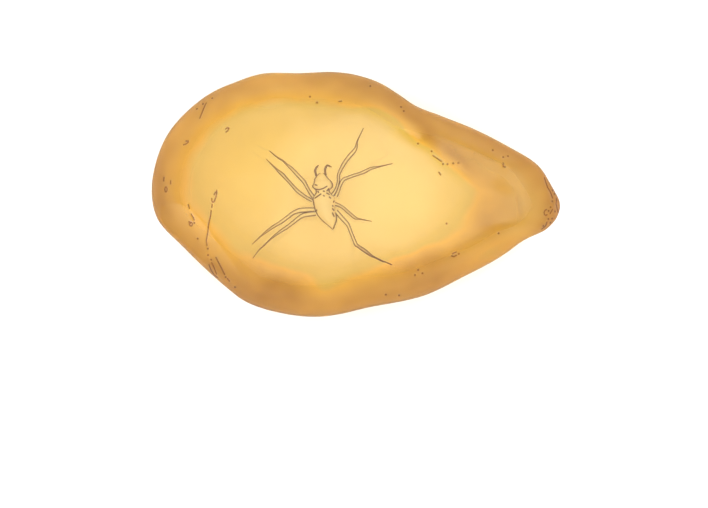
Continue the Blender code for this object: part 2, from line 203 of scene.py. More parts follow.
# %% [markdown]
# ## Swellings and lines
# Wear leaves low swellings, dents and grooves. Sculpting them would do for one picture, but a
# formula can be measured and changed. A swelling is a turned bell shape. A groove needs the
# distance to a line of straight pieces, which also serves the marks and the spider's creases
# later.

# %% Lumps, and the distance to a line
FAR = 1e9  # farther than anything


def lump(x, y, middle, half_sizes, turn, height):
    """A bell-shaped swelling, its longer side turned by so many degrees."""
    angle = math.radians(turn)
    along = (x - middle[0]) * math.cos(angle) + (y - middle[1]) * math.sin(angle)
    across = (y - middle[1]) * math.cos(angle) - (x - middle[0]) * math.sin(angle)
    return height * np.exp(-((along / half_sizes[0]) ** 2) - (across / half_sizes[1]) ** 2)


def distance_to_path(x, y, path):
    """Distance from every x, y to a run of straight pieces."""
    best = np.full(np.shape(x), FAR)
    for start, end in zip(path, path[1:]):
        run = np.subtract(end, start)
        share = ((x - start[0]) * run[0] + (y - start[1]) * run[1]) / run.dot(run)
        share = np.clip(share, 0.0, 1.0)
        aside = np.hypot(x - start[0] - run[0] * share, y - start[1] - run[1] * share)
        best = np.minimum(best, aside)
    return best


print("from (0, 1) to the x axis:", distance_to_path(0.0, 1.0, ((-1, 0), (1, 0))), "mm")

# %% [markdown]
# ## Chips
# Three flat flakes are broken off the rim, two at the tip and one at the lower left. A Boolean
# could cut them, but a clear mesh must stay perfectly closed. A plane that caps the height of the
# skin gives the same flat face and can't tear anything. Its upper edge is drawn in the plan, on
# the dome, and from there it falls away outward.

# %% Planes of the chips
DOME_HEIGHT = 8.3  # above the parting, before swellings and hollows
CHIPS = (  # the two ends of the upper edge, and the fall in degrees
    ((22.85, 2.35), (24.1, -0.95), 58.0),
    ((23.95, -1.25), (23.85, -2.45), 66.0),
    ((-18.05, -8.2), (-16.4, -9.95), 50.0),
)


def chip_plane(x, y, start, end, fall):
    """The height of a chip's plane, and 0 where it would be lower."""
    edge = np.subtract(end, start)
    outward = np.array((-edge[1], edge[0])) / math.hypot(*edge)
    if outward.dot(np.subtract(start, MIDDLE)) < 0:
        outward = -outward
    centre = np.add(start, end) / 2
    reach = reach_towards(*(centre - MIDDLE))
    share = math.hypot(*(centre - MIDDLE)) / reach
    edge_height = DOME_HEIGHT * thinning(centre[0]) * rise(share, reach)
    beyond = (x - centre[0]) * outward[0] + (y - centre[1]) * outward[1]
    return np.maximum(edge_height - beyond * math.tan(math.radians(fall)), 0.0)


print("chip edges:", [round(math.dist(start, end), 1) for start, end, _ in CHIPS], "mm")

# %% [markdown]
# ## The crown
# The crown is the dome with all of this on it: four low swellings, the hollow that sets off the
# neck from the shoulder down, and the chips. Swellings and hollow fade out towards the rim, so
# that the outline stays as drawn.

# %% Height of the crown
CROWN_LUMPS = (  # middle, half sizes, turn in degrees, height
    ((16.6, 3.0), (3.2, 1.5), 62.0, 0.35), ((-9.0, 12.0), (4.0, 1.6), 5.0, 0.20),
    ((10.5, -9.2), (3.6, 1.5), 25.0, 0.25), ((-13.5, -10.5), (3.0, 1.6), -45.0, 0.20),
)
NECK_HOLLOW = ((5.5, 11.4), (8.0, 7.45), (10.9, 4.1), (14.6, 2.65), (18.6, 1.6))
NECK_HOLLOW_DEPTH, NECK_HOLLOW_REACH = 0.75, 1.9
CALM_SHARE = 0.25  # over this outer share of the reach, swellings and hollows fade out
HALF_GAP, GAP_SHARE = 0.15, 0.02  # the solids' upper half lies this much higher, for a gap


def dome_height(x, y, share, reach):
    """The crown's height above the parting."""
    height = DOME_HEIGHT * thinning(x) * rise(share, reach)
    calm = smooth_step((1 - share) / CALM_SHARE)
    for swelling in CROWN_LUMPS:
        height = height + calm * lump(x, y, *swelling)
    hollow = distance_to_path(x, y, NECK_HOLLOW) / NECK_HOLLOW_REACH
    height = height - calm * NECK_HOLLOW_DEPTH * np.exp(-hollow * hollow)
    for chip in CHIPS:
        height = np.minimum(height, chip_plane(x, y, *chip))
    return height + HALF_GAP * smooth_step((1 - share) / GAP_SHARE)


crown_top = float(dome_height(*MIDDLE, 0.0, WIDTH / 2))
print("crown:", round(crown_top, 2), "mm above the parting")

# %% [markdown]
# ## The belly
# Nobody sees the belly in the drawing, but light that has crossed the drop comes back through it,
# so it needs a believable shape. It is the same rise turned upside down and cut off by the small
# flat that the drop rests on, with a few dents and one swelling around it.

# %% Depth of the belly
FLAT_SHARE = 0.34  # the rest flat takes this inner share of the reach
BELLY_LUMPS = (  # middle, half sizes, turn in degrees, height
    ((-14.0, 4.5), (5.0, 3.2), 70.0, -0.35), ((8.5, 5.5), (5.0, 2.6), -25.0, -0.30),
    ((3.0, -9.0), (5.5, 2.4), 10.0, 0.30), ((16.0, -2.0), (3.0, 2.4), 0.0, -0.25),
)


def belly_depth(x, y, share, reach):
    """The belly's depth below the parting."""
    depth = PARTING * thinning(x) * np.minimum(rise(share, reach) / rise(FLAT_SHARE, reach), 1)
    depth = np.where(share < FLAT_SHARE, PARTING, depth)
    calm = smooth_step((1 - share) / CALM_SHARE) * smooth_step((share - FLAT_SHARE) / CALM_SHARE)
    for swelling in BELLY_LUMPS:
        depth = depth + calm * lump(x, y, *swelling)
    return np.minimum(depth, PARTING)


print("belly:", float(belly_depth(*MIDDLE, 0.0, WIDTH / 2)), "mm below the parting")

# %% [markdown]
# ## Scratches and cracks
# Sand and time leave fine strokes on the skin: short scratches, a hooked crack and, at the blunt
# tip, the edges of small chips. A bump texture could carry them, but then they would vanish from
# the mesh. Here each stroke is a run of points on the crown, and the same list cuts the grooves
# and lays the stains.

# %% List the strokes of the crown
STROKES = (
    # left end
    ((-15.50, 7.56), (-15.29, 7.73), (-15.11, 7.66), (-15.24, 7.36), (-15.46, 7.19)),
    ((-20.64, 5.77), (-20.33, 5.87), (-20.07, 6.04), (-20.06, 6.22), (-20.32, 6.22)),
    ((-23.08, 1.87), (-23.10, 1.49)), ((-22.19, 1.46), (-22.20, 1.10)),
    ((-19.97, -1.43), (-19.86, -1.89)), ((-20.01, -3.44), (-19.85, -3.68)),
    ((-19.66, -2.57), (-19.46, -2.89), (-19.33, -3.25)),
    # the hooked crack and the lines below it
    ((-16.51, 0.27), (-16.51, -0.12), (-16.66, -0.69), (-16.81, -1.09), (-16.99, -1.16),
     (-17.10, -0.99), (-17.11, -0.73)),
    ((-16.65, 0.02), (-16.81, -0.27)), ((-17.06, -1.41), (-17.10, -1.77)),
    ((-17.20, -2.16), (-17.25, -2.68), (-17.44, -3.39), (-17.68, -4.65), (-17.94, -5.68),
     (-17.90, -6.32)),
    ((-17.41, -8.36), (-17.11, -9.05), (-16.91, -9.71)), ((-16.83, -7.72), (-15.83, -9.77)),
    ((-15.52, -10.27), (-15.29, -10.59)),
    ((-17.77, -8.61), (-17.58, -9.23), (-17.31, -9.81), (-16.86, -10.17)),
    # the neck
    ((9.14, 4.43), (9.63, 4.11), (10.20, 3.70)), ((9.85, 2.43), (10.05, 2.12)),
    ((17.68, 3.64), (17.69, 3.21), (17.94, 3.16)), ((11.53, -7.27), (11.99, -7.08)),
    ((11.41, -7.53), (11.71, -7.63), (12.02, -7.48)),
    # along the top
    ((-18.08, 10.94), (-18.38, 10.07), (-18.73, 9.00)), ((-2.03, 10.89), (-1.73, 10.95)),
    # the chipped tip
    ((22.96, 1.98), (23.07, 1.43), (23.26, 0.80), (23.60, 0.31), (23.90, -0.48)),
    ((24.46, -0.52), (24.39, -1.18), (24.58, -1.67), (24.75, -2.17)),
    ((23.07, -1.94), (22.87, -2.01), (22.74, -2.29), (22.81, -2.53), (22.99, -2.65),
     (23.13, -2.56)),
    ((23.85, -1.90), (23.56, -2.40)), ((23.19, -3.46), (23.08, -3.95), (22.61, -4.33)),
)
STROKE_HALF_WIDTH = 0.085
print("strokes:", len(STROKES))

# %% [markdown]
# ## Pits
# Between the strokes the skin is pricked with small pits, some so small that they are mere dots,
# and two at the left end with a dark ring around them. The belly has a few wider ones. A dot needs
# only its place, and a ring is a stroke that runs round and closes.

# %% List the dots, rings and pits
DOTS = (
    (-19.35, -3.61), (-19.06, -5.49), (-17.80, -6.66), (-17.83, -7.44), (-17.46, -7.99),
    (-15.72, -10.09), (-14.65, -11.33), (-17.39, 11.54), (-18.52, 10.86), (-19.24, 10.27),
    (-5.49, 11.49), (-4.65, 10.76), (1.73, 13.00), (5.45, 10.46), (5.77, 9.96), (7.38, 5.87),
    (9.00, 4.95), (10.36, 3.41), (10.90, 3.42), (11.59, 3.53), (12.22, 3.58), (16.47, 5.22),
    (18.34, 4.54), (17.72, 4.38), (10.77, -3.67), (17.12, -4.84), (12.29, -7.29), (7.40, -9.22),
    (7.05, -9.82), (7.94, -9.63), (3.58, -12.21), (5.20, -12.35), (23.95, 0.48), (24.21, 0.04),
    (23.84, -0.89), (23.58, -1.63), (23.32, -2.08), (24.27, -2.12), (23.89, -3.01),
    (23.71, -3.53), (23.35, -3.08), (22.76, -3.92),
)
DOT_RADIUS = 0.125
RINGS = (((-22.82, 0.44), 0.15, 0.30), ((-19.80, -3.75), 0.19, 0.22))  # middle, half sizes
RING_SIDES = 10
BELLY_PITS = (  # middle, radius
    ((-16.0, -5.0), 0.34), ((-12.5, 8.8), 0.28), ((9.5, -6.0), 0.32), ((13.8, 4.4), 0.26),
    ((19.0, -1.5), 0.30), ((-19.5, 3.2), 0.24),
)


def ring_path(middle, half_x, half_y):
    """A closed run of points around the middle."""
    turns = [2 * math.pi * side / RING_SIDES for side in range(RING_SIDES + 1)]
    return [(middle[0] + half_x * math.cos(turn), middle[1] + half_y * math.sin(turn))
            for turn in turns]


def crown_mark_distance(x, y):
    """How far each place is from the edge of the crown's nearest mark: below 0 on the mark."""
    best = np.full(np.shape(x), FAR)
    for path in list(STROKES) + [ring_path(*ring) for ring in RINGS]:
        best = np.minimum(best, distance_to_path(x, y, path) - STROKE_HALF_WIDTH)
    for dot in DOTS:
        best = np.minimum(best, np.hypot(x - dot[0], y - dot[1]) - DOT_RADIUS)
    return best


def belly_mark_distance(x, y):
    """The same for the pits of the belly."""
    best = np.full(np.shape(x), FAR)
    for (pit_x, pit_y), radius in BELLY_PITS:
        best = np.minimum(best, np.hypot(x - pit_x, y - pit_y) - radius)
    return best


print("marks:", len(DOTS), "dots,", len(RINGS), "rings,", len(BELLY_PITS), "pits in the belly")

# %% [markdown]
# ## A ball to start from
# The drop is one closed lump, so it starts as a ball. A UV Sphere has two poles where triangles
# crowd together, and they would show as stars in the clear crown. A gridded cube, blown up until it
# is round, has no poles.

# %% Blow up a cube
BALL_CUTS = 79


def cube_ball(cuts):
    """A ball of radius 1, from a cube with so many cuts across each face."""
    ball = bmesh.new()
    bmesh.ops.create_cube(ball, size=2.0)
    bmesh.ops.subdivide_edges(ball, edges=ball.edges[:], cuts=cuts, use_grid_fill=True)
    for corner in ball.verts:
        corner.co = Vector([math.tan(value * math.pi / 4) for value in corner.co]).normalized()
    bmesh.ops.triangulate(ball, faces=ball.faces[:])
    return ball


ball = cube_ball(BALL_CUTS)
print("ball:", len(ball.verts), "corners,", len(ball.faces), "triangles")

# %% [markdown]
# ## From ball to drop
# Seen from above, the ball is a disc. Stretching that disc to the outline, and lifting each of its
# two sides to the height of its skin, turns the ball into the drop. The ball is kept beside it,
# because it tells crown from belly and gives each corner's share of the reach.

# %% Stretch the ball to the drop


def ball_points_of(ball):
    """All corners of the ball, as rows of x, y, z."""
    return np.array([corner.co[:] for corner in ball.verts])


def plan_of(ball_points):
    """Where points of the ball lie seen from above, with their share of the reach."""
    reach = reach_towards(ball_points[:, 0], ball_points[:, 1])
    plan = MIDDLE + ball_points[:, :2] * reach[:, None]
    return plan[:, 0], plan[:, 1], np.hypot(ball_points[:, 0], ball_points[:, 1]), reach


def stretched(ball_points):
    """From the ball to the drop, in millimetres."""
    x, y, share, reach = plan_of(ball_points)
    crown = dome_height(x, y, share, reach)
    belly = -belly_depth(x, y, share, reach)
    return np.stack((x, y, PARTING + np.where(ball_points[:, 2] > 0, crown, belly)), axis=1)


print("the drop is", np.ptp(stretched(ball_points_of(ball)), axis=0).round(1), "mm")

# %% [markdown]
# ## Finer where the marks are
# A groove 0.17 mm wide needs triangles that are finer still, and over the whole drop that would be
# millions. So edges are split again only where they are too long for their distance from the
# nearest mark, which keeps the mesh light.

# %% Split the ball at the marks
FINE_EDGE = 0.08  # the longest edge wanted on a mark
COARSENING = 0.55  # how much longer it may be for each millimetre away from one
SPLIT_ROUNDS = 3


def mark_distance(ball_points):
    """How far points of the ball are from the nearest mark, on the drop."""
    x, y, _, _ = plan_of(ball_points)
    on_crown = ball_points[:, 2] > 0
    return np.where(on_crown, crown_mark_distance(x, y), belly_mark_distance(x, y))


def split_long_edges(ball):
    """Halves every edge that is too long for its distance from the nearest mark."""
    ball.verts.index_update()
    points = ball_points_of(ball)
    places = stretched(points)
    distance = mark_distance(points)
    ends = np.array([[corner.index for corner in edge.verts] for edge in ball.edges])
    length = np.linalg.norm(places[ends[:, 0]] - places[ends[:, 1]], axis=1)
    nearest = np.minimum(distance[ends[:, 0]], distance[ends[:, 1]])
    too_long = length > np.maximum(FINE_EDGE, COARSENING * nearest)
    chosen = [edge for edge, wanted in zip(ball.edges, too_long) if wanted]
    bmesh.ops.subdivide_edges(ball, edges=chosen, cuts=1)
    bmesh.ops.triangulate(ball, faces=[face for face in ball.faces if len(face.verts) > 3])
    for corner in ball.verts:
        corner.co.normalize()


for _ in range(SPLIT_ROUNDS):
    split_long_edges(ball)
print("ball:", len(ball.verts), "corners,", len(ball.faces), "triangles")

# %% [markdown]
# ## Relief
# The marks are cut into the stretched skin, which is then given the faint unevenness of a thing
# that was worn by hand and water, not turned on a wheel. A Displace modifier could do this, but it
# would also dent the flat that the drop lies on. Moving the corners ourselves lets the unevenness,
# broad and fine, fade out just above that flat.

# %% Cut the marks and roughen the skin
GROOVE_DEPTH = 0.06
BOWL_REACH = 0.16
WAVES = ((0.05, 6.0), (0.012, 1.5))  # height and size, broad and fine
WAVES_FROM = 0.8  # height above the table where they have grown to the full


def waves(spots, size):
    """Smooth random values from about -1 to 1, at each spot."""
    return np.array([noise.noise(Vector(spot) / size) for spot in spots])


ball_points = ball_points_of(ball)
places = stretched(ball_points)
distance = mark_distance(ball_points)
on_mark = np.exp(-(np.maximum(distance + STROKE_HALF_WIDTH, 0) / BOWL_REACH) ** 2)
for corner, place in zip(ball.verts, places):
    corner.co = Vector(place)
bmesh.ops.recalc_face_normals(ball, faces=ball.faces[:])
ball.normal_update()
outward = np.array([corner.normal[:] for corner in ball.verts])
lift = sum(height * waves(places, size) for height, size in WAVES)
lift = lift * smooth_step(places[:, 2] / WAVES_FROM) - GROOVE_DEPTH * on_mark
places = places + outward * lift[:, None]
places[:, 2] = np.maximum(places[:, 2], 0.0)
print("relief from", lift.min().round(3), "to", lift.max().round(3), "mm")

# %% [markdown]
# ## The mesh of the drop
# So far the drop is only a list of places. They go back to the ball's corners, now in metres, and
# the ball becomes a mesh. Smooth shading hides the triangles, which matters most in a clear thing,
# because every facet would break up what is seen through it.

# %% Make the mesh of the drop
for corner, place in zip(ball.verts, places):
    corner.co = Vector(place) * MM
amber_mesh = bpy.data.meshes.new("amber")
ball.to_mesh(amber_mesh)
ball.free()
amber_mesh.shade_smooth()
amber = added("amber", amber_mesh)
print("amber:", len(amber_mesh.polygons), "triangles")

# %% [markdown]
# ## The rubbed window
# Amber darkens from the outside in. On a worn drop the crown is rubbed clear, like a window, and
# the flanks keep a thin orange crust. Its tint is also painted shade, which darkens the flanks and
# the rim as the shading of a dome would. A picture of the crust would have to be wrapped around
# the drop. A value at every corner of the mesh needs no wrapping, and can follow an outline of its
# own: where the window ends in each direction, and how softly.

# %% Outline of the window
WINDOW = (  # direction from the middle in degrees, where the window ends, how softly
    (0, 17.6, 3.0), (15, 14.6, 1.5), (30, 12.5, 1.4), (45, 12.0, 1.5), (60, 11.5, 2.2),
    (75, 10.6, 2.2), (90, 10.6, 3.2), (105, 11.6, 3.6), (120, 12.9, 3.0), (135, 14.5, 2.8),
    (150, 16.0, 3.2), (165, 17.2, 3.4), (180, 17.0, 4.5), (195, 14.8, 4.2), (210, 13.2, 4.0),
    (225, 11.6, 3.0), (240, 10.6, 2.4), (255, 10.6, 3.4), (270, 10.4, 4.0), (285, 9.8, 3.6),
    (300, 9.6, 3.6), (315, 10.9, 2.6), (330, 13.3, 2.4), (345, 16.0, 3.2),
)
window_turn, window_reach, window_fade = np.array(WINDOW).T


def crust_and_shade_at(x, y, fade_scale):
    """How much crust and painted shade: 0 in the clear window, 1 on the flanks."""
    turn = np.degrees(np.arctan2(y - MIDDLE[1], x - MIDDLE[0]))
    edge = np.interp(turn, window_turn, window_reach, period=360)
    fade = fade_scale * np.interp(turn, window_turn, window_fade, period=360)
    beyond = np.hypot(x - MIDDLE[0], y - MIDDLE[1]) - edge
    return smooth_step(0.5 + beyond / (2 * fade))


print("window:", window_reach.min(), "to", window_reach.max(), "mm from the middle")

# %% [markdown]
# ## Crust and painted shade on the crown
# No worn edge is even. The window's edge wanders a little, and a faint yellow veil of painted shade
# thickens away from its middle, as the shading of a dome would. Patches make the crust thicker in
# some places and rubbed thinner in others: the thicker ones are partly painted shade, such as the
# dark band along the neck hollow, and the thinner ones near the rim are painted highlights. Each
# of these is one more term, added from broad to fine, so that each can be tuned by itself.

# %% Crust and painted shade on the crown
WANDER, WANDER_SIZE = 0.5, 3.0
WANDER_SHIFTS = (40.0, 80.0)  # two far places in the waves, so that x and y wander apart
# the veil is painted shade: it darkens the crown away from its middle, as a dome's shading does
VEIL_SHADE = 0.42
VEIL_SHADE_MIDDLE_Y, VEIL_SHADE_HALF_SIZES = -0.3, (10.5, 10.0)
VEIL_SHADE_FROM, VEIL_SHADE_SPAN = 0.65, 0.5  # in shares of its half sizes
CLOUDS, CLOUD_SIZE = 0.08, 2.2
# thicker patches are partly painted shade, as in the dark band along the neck hollow; thinner ones
# near the rim are painted highlights
CRUST_SHADE_AND_HIGHLIGHT_PATCHES = (  # middle, half sizes, turn in degrees, how much thicker
    ((-9.9, -11.7), (5.0, 2.4), 10.0, 0.35), ((8.1, -9.9), (5.0, 2.2), 22.0, 0.25),
    ((2.0, 12.2), (3.5, 1.5), -30.0, 0.15), ((9.4, 5.9), (5.5, 1.3), -42.0, 0.40),
    ((18.5, 5.2), (7.0, 1.2), -25.0, 0.15), ((23.8, -1.6), (3.5, 1.3), 70.0, 0.30),
    ((-23.5, -0.7), (4.5, 1.2), 95.0, 0.20), ((-16.7, -9.2), (2.5, 0.9), -45.0, 0.15),
    ((16.1, -3.1), (3.5, 1.4), 50.0, 0.12), ((-10.3, 14.2), (4.0, 1.0), 3.0, -0.40),
    ((17.0, 1.2), (3.5, 2.5), -35.0, -0.20), ((16.4, -7.1), (6.0, 1.6), 30.0, -0.50),
    ((-3.8, -11.1), (2.0, 1.8), 0.0, -0.25), ((14.0, 8.2), (9.0, 0.9), -26.0, -0.20),
    ((-21.5, 8.0), (4.0, 1.0), 50.0, -0.25), ((5.6, -8.3), (4.5, 1.5), 15.0, 0.15),
    ((12.8, 3.0), (3.0, 1.2), -35.0, 0.15), ((-8.5, -4.5), (5.5, 3.0), 0.0, -0.22),
    ((5.4, -4.1), (2.5, 2.0), 0.0, 0.12), ((-12.5, 6.0), (4.5, 3.0), 35.0, 0.20),
)

x, y = (places[:, axis] + WANDER * waves(places + shift, WANDER_SIZE)
        for axis, shift in enumerate(WANDER_SHIFTS))
outness = np.hypot(x / VEIL_SHADE_HALF_SIZES[0], (y - VEIL_SHADE_MIDDLE_Y) / VEIL_SHADE_HALF_SIZES[1])
crown_crust_and_shade = crust_and_shade_at(x, y, 1.0) + VEIL_SHADE * smooth_step((outness - VEIL_SHADE_FROM) / VEIL_SHADE_SPAN)
for patch in CRUST_SHADE_AND_HIGHLIGHT_PATCHES:
    crown_crust_and_shade = crown_crust_and_shade + lump(x, y, *patch)
crown_crust_and_shade = crown_crust_and_shade + CLOUDS * crown_crust_and_shade * waves(places, CLOUD_SIZE)
print("crust on the crown: up to", crown_crust_and_shade.max().round(2))

# %% [markdown]
# ## Crust and painted shade on the belly and at the rim
# The belly rubs on whatever the drop lies on, so it keeps less crust and painted shade, and the
# edge of its window is softer. Crown and belly blend into each other over the height of the flank.
# At the very rim, which is rubbed least, a little more crust is left, in patches, and this is also
# painted shade that draws a dark line along the outline.

# %% Crust and painted shade on the belly and at the rim
BELLY_SHARE, BELLY_FADE = 0.45, 2.2
FLANK_FROM = 2.5  # height above the table where the belly starts to turn into the crown
RIM_WIDTH, RIM_CRUST_AND_SHADE = 0.35, 0.4
RIM_MEAN, RIM_MOST = 0.6, 1.5
RIM_WAVES = ((1.2, 2.6), (0.6, 0.9))  # strength and size

belly_crust_and_shade = BELLY_SHARE * crust_and_shade_at(x, y, BELLY_FADE)
flank = smooth_step((places[:, 2] - FLANK_FROM) / (PARTING - FLANK_FROM))
crust_and_shade = belly_crust_and_shade + (crown_crust_and_shade - belly_crust_and_shade) * flank
_, _, share, reach = plan_of(ball_points)
inset = (1 - share) * reach
patchy = sum((strength * waves(places, size) for strength, size in RIM_WAVES), RIM_MEAN)
patchy = np.clip(patchy, 0.0, RIM_MOST)
# painted shade: a patchy dark line along the outline, together with the rim's crust
crust_and_shade = crust_and_shade + RIM_CRUST_AND_SHADE * patchy * smooth_step(1 - inset / RIM_WIDTH)
print("crust on", round(float((crust_and_shade > 0.5).mean()), 2), "of the corners")

# %% [markdown]
# ## Polish and stains
# Handling polishes the top of the crown and leaves the rim dull. Dirt settles in the marks and
# stains them brown. These are two more values for each corner, and all three go into the mesh as
# attributes, where the material can read them.

# %% Store crust, stains and polish in the mesh
CROWN_DULL, BELLY_DULL = (6.0, 0.8), (10.0, 1.0)  # how far in from the rim, from and to
STAIN_EDGE = 0.07
BELLY_STAIN, BELLY_STAIN_EDGE = 0.15, 0.2


def corner_value(mesh, name, values):
    """Stores a value for every corner of the mesh."""
    layer = mesh.attributes.new(name, "FLOAT", "POINT")
    layer.data.foreach_set("value", values.astype(np.float32))


crown_dull, belly_dull = (smooth_step((start - inset) / (start - end))
                          for start, end in (CROWN_DULL, BELLY_DULL))
dull = belly_dull + (crown_dull - belly_dull) * flank
stain = np.where(ball_points[:, 2] > 0, smooth_step(0.5 - distance / STAIN_EDGE),
                 BELLY_STAIN * smooth_step(0.5 - distance / BELLY_STAIN_EDGE))
for name, values in (("crust_and_shade", crust_and_shade), ("stain", stain), ("dull", dull)):
    corner_value(amber_mesh, name, values)
    print(name, "from", values.min().round(2), "to", values.max().round(2))

# %% [markdown]
# ## Amber to look through
# Light enters clear resin, bends, crosses it and leaves. A Principled shader with all of its
# Transmission does that, with the bend of real amber, an index of refraction of 1.54. Plain
# transparency would be quicker to render, but it bends nothing, and the drop would look like
# coloured air.

# %% Start the amber
AMBER_IOR = 1.54


def new_material(name):
    """A material with nodes, its tree of nodes and its shader."""
    material = bpy.data.materials.new(name)
    material.use_nodes = True
    return material, material.node_tree, material.node_tree.nodes["Principled BSDF"]


resin, tree, shader = new_material("amber")
shader.inputs["IOR"].default_value = AMBER_IOR
shader.inputs["Transmission Weight"].default_value = 1.0
print("amber: index of refraction", AMBER_IOR)

# %% [markdown]
# ## The colour of the crust and painted shade
# The crust, and with it the painted shade of flanks and rim, tints light where it crosses the skin,
# which is the Base Color of a transmissive shader. It isn't one colour thinned out: a thin crust is
# yellow, a thick one orange, the thickest brown. So a Color Ramp looks the colour up, from the
# value of crust and painted shade that the mesh carries.

# %% Colour the crust and painted shade
CRUST_AND_SHADE_COLOURS = (  # no crust, two thin ones, the flanks and the thickest crust
    (0.000, (1.00, 1.00, 1.00, 1.0)), (0.250, (0.80, 0.72, 0.31, 1.0)),
    (0.375, (0.74, 0.66, 0.21, 1.0)), (0.500, (0.93, 0.60, 0.10, 1.0)),
    (1.000, (0.28, 0.09, 0.00, 1.0)),
)
THICKEST_CRUST_AND_SHADE = 2.0  # the crust value that gets the last of these colours


def stored_value(tree, name):
    """A value that the mesh carries at its corners."""
    node = tree.nodes.new("ShaderNodeAttribute")
    node.attribute_name = name
    return node.outputs["Fac"]


def ranged(tree, value, low, high, end=1.0):
    """A value from 0 to end, spread from low to high."""
    spread = tree.nodes.new("ShaderNodeMapRange")
    tree.links.new(value, spread.inputs["Value"])
    spread.inputs["From Max"].default_value = end
    spread.inputs["To Min"].default_value = low
    spread.inputs["To Max"].default_value = high
    return spread.outputs["Result"]


def colour_run(tree, value, stops):
    """Colours along a value from 0 to 1, from stops of a place and a colour."""
    node = tree.nodes.new("ShaderNodeValToRGB")
    tree.links.new(value, node.inputs["Fac"])
    elements = node.color_ramp.elements  # a new ramp has two
    for index, (place, colour) in enumerate(stops):
        stop = elements[index] if index < 2 else elements.new(place)
        stop.position = place
        stop.color = colour
    return node.outputs["Color"]


crust_and_shade_level = ranged(tree, stored_value(tree, "crust_and_shade"), 0.0, 1.0, end=THICKEST_CRUST_AND_SHADE)
crusted_and_shaded = colour_run(tree, crust_and_shade_level, CRUST_AND_SHADE_COLOURS)
print("crust:", len(CRUST_AND_SHADE_COLOURS), "colours")

# %% [markdown]
# ## Stains and polish on the crust
# A stain lies on top of the crust, so its brown is mixed over the crust's colour by the stain
# value. The dull value sets the Roughness: a rough skin scatters light, so that what lies behind
# it blurs, while the polished window stays clear enough to see the spider.

# %% Stain and polish the skin
STAIN_COLOUR = (0.13, 0.03, 0.0, 1.0)
CLEAR_ROUGHNESS, DULL_ROUGHNESS = 0.02, 0.75


def mixed_colour(tree, factor, first, second):
    """A mix of two colours, each one plain or the output of a node."""
    mix = tree.nodes.new("ShaderNodeMix")
    mix.data_type = "RGBA"
    tree.links.new(factor, mix.inputs["Factor"])
    for letter, colour in (("A", first), ("B", second)):
        socket = next(item for item in mix.inputs if item.name == letter and item.type == "RGBA")
        if isinstance(colour, tuple):
            socket.default_value = colour
        else:
            tree.links.new(colour, socket)
    return next(item for item in mix.outputs if item.type == "RGBA")


stained = mixed_colour(tree, stored_value(tree, "stain"), crusted_and_shaded, STAIN_COLOUR)
tree.links.new(stained, shader.inputs["Base Color"])
roughness = ranged(tree, stored_value(tree, "dull"), CLEAR_ROUGHNESS, DULL_ROUGHNESS)
tree.links.new(roughness, shader.inputs["Roughness"])
print("skin: roughness from", CLEAR_ROUGHNESS, "to", DULL_ROUGHNESS)

# %% [markdown]
# ## The colour of depth
# The resin itself soaks up blue and green light on the way through, so the deeper the path, the
# deeper the orange. A surface colour can't know how deep the drop is. A Volume Absorption node
# can, because it works along the whole path of the light.

# %% Colour the depth
ABSORB_COLOUR = (0.985, 0.79, 0.11, 1.0)
ABSORB_DENSITY = 50.0  # for each metre of path

absorb = tree.nodes.new("ShaderNodeVolumeAbsorption")
absorb.inputs["Color"].default_value = ABSORB_COLOUR
absorb.inputs["Density"].default_value = ABSORB_DENSITY
tree.links.new(absorb.outputs["Volume"], tree.nodes["Material Output"].inputs["Volume"])
amber_mesh.materials.append(resin)
left = [math.exp(-(1 - part) * ABSORB_DENSITY * crown_top * MM) for part in ABSORB_COLOUR[:3]]
print("light left after the crown's depth:", [round(part, 2) for part in left])

# %% [markdown]
# ## One drop for two halves
# The solids part the drop into two halves with a pocket between them, because a solid that is
# sealed in another needs room. Real amber touches its spider all round. A gap or a pocket would
# shine like a crack in clear resin, so the one closed mesh takes the place of both halves.

# %% Replace the halves
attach(amber, "root")
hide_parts("amber_upper", "amber_lower")
print("amber takes the place of the two halves")

# %% [markdown]
# ## The body of the spider
# The amber bends the view, so the spider is built where it truly lies, a little nearer the middle
# than it seems. Its body is a head with jaws, a waist and a long rear part. Joined balls would
# leave seams at the waist, so the body is one tube, given by its two edges and its height in many
# rows from head to tail.

# %% Measure the body
BODY = (  # y, left edge, right edge, half height
    (2.40, -4.28, -4.01, 0.10), (2.38, -4.40, -3.90, 0.20), (2.31, -4.55, -3.79, 0.32),
    (2.17, -4.72, -3.67, 0.46), (1.96, -4.88, -3.48, 0.60), (1.75, -5.00, -3.29, 0.70),
    (1.50, -5.06, -3.03, 0.80), (1.20, -5.13, -2.85, 0.86), (1.02, -5.26, -2.80, 0.86),
    (0.87, -5.30, -2.80, 0.82), (0.70, -5.23, -2.88, 0.76), (0.55, -5.06, -3.03, 0.68),
    (0.45, -4.92, -3.17, 0.62), (0.32, -4.89, -3.20, 0.60), (0.15, -4.88, -3.11, 0.64),
    (-0.05, -4.96, -2.93, 0.72), (-0.26, -5.11, -2.70, 0.80), (-0.47, -5.22, -2.58, 0.88),
    (-0.76, -5.22, -2.55, 0.95), (-1.06, -5.16, -2.58, 1.02), (-1.57, -5.08, -2.59, 1.08),
    (-2.07, -4.93, -2.51, 1.08), (-2.57, -4.67, -2.38, 1.00), (-3.03, -4.24, -2.36, 0.86),
    (-3.41, -3.84, -2.45, 0.70), (-3.75, -3.46, -2.58, 0.54), (-4.00, -3.17, -2.68, 0.36),
    (-4.13, -3.05, -2.75, 0.22), (-4.19, -2.95, -2.82, 0.10),
)
print("body:", round(BODY[0][0] - BODY[-1][0], 1), "mm from its jaws to its tail, along y")

# %% [markdown]
# ## Legs and palps
# A leg swells and narrows between its joints and ends in a point as thin as a hair. The legs lie
# spread out as the resin caught them, with the knees a little higher than the feet. Each is a run
# of points with a radius of its own, and so are the two hooked palps at the head.

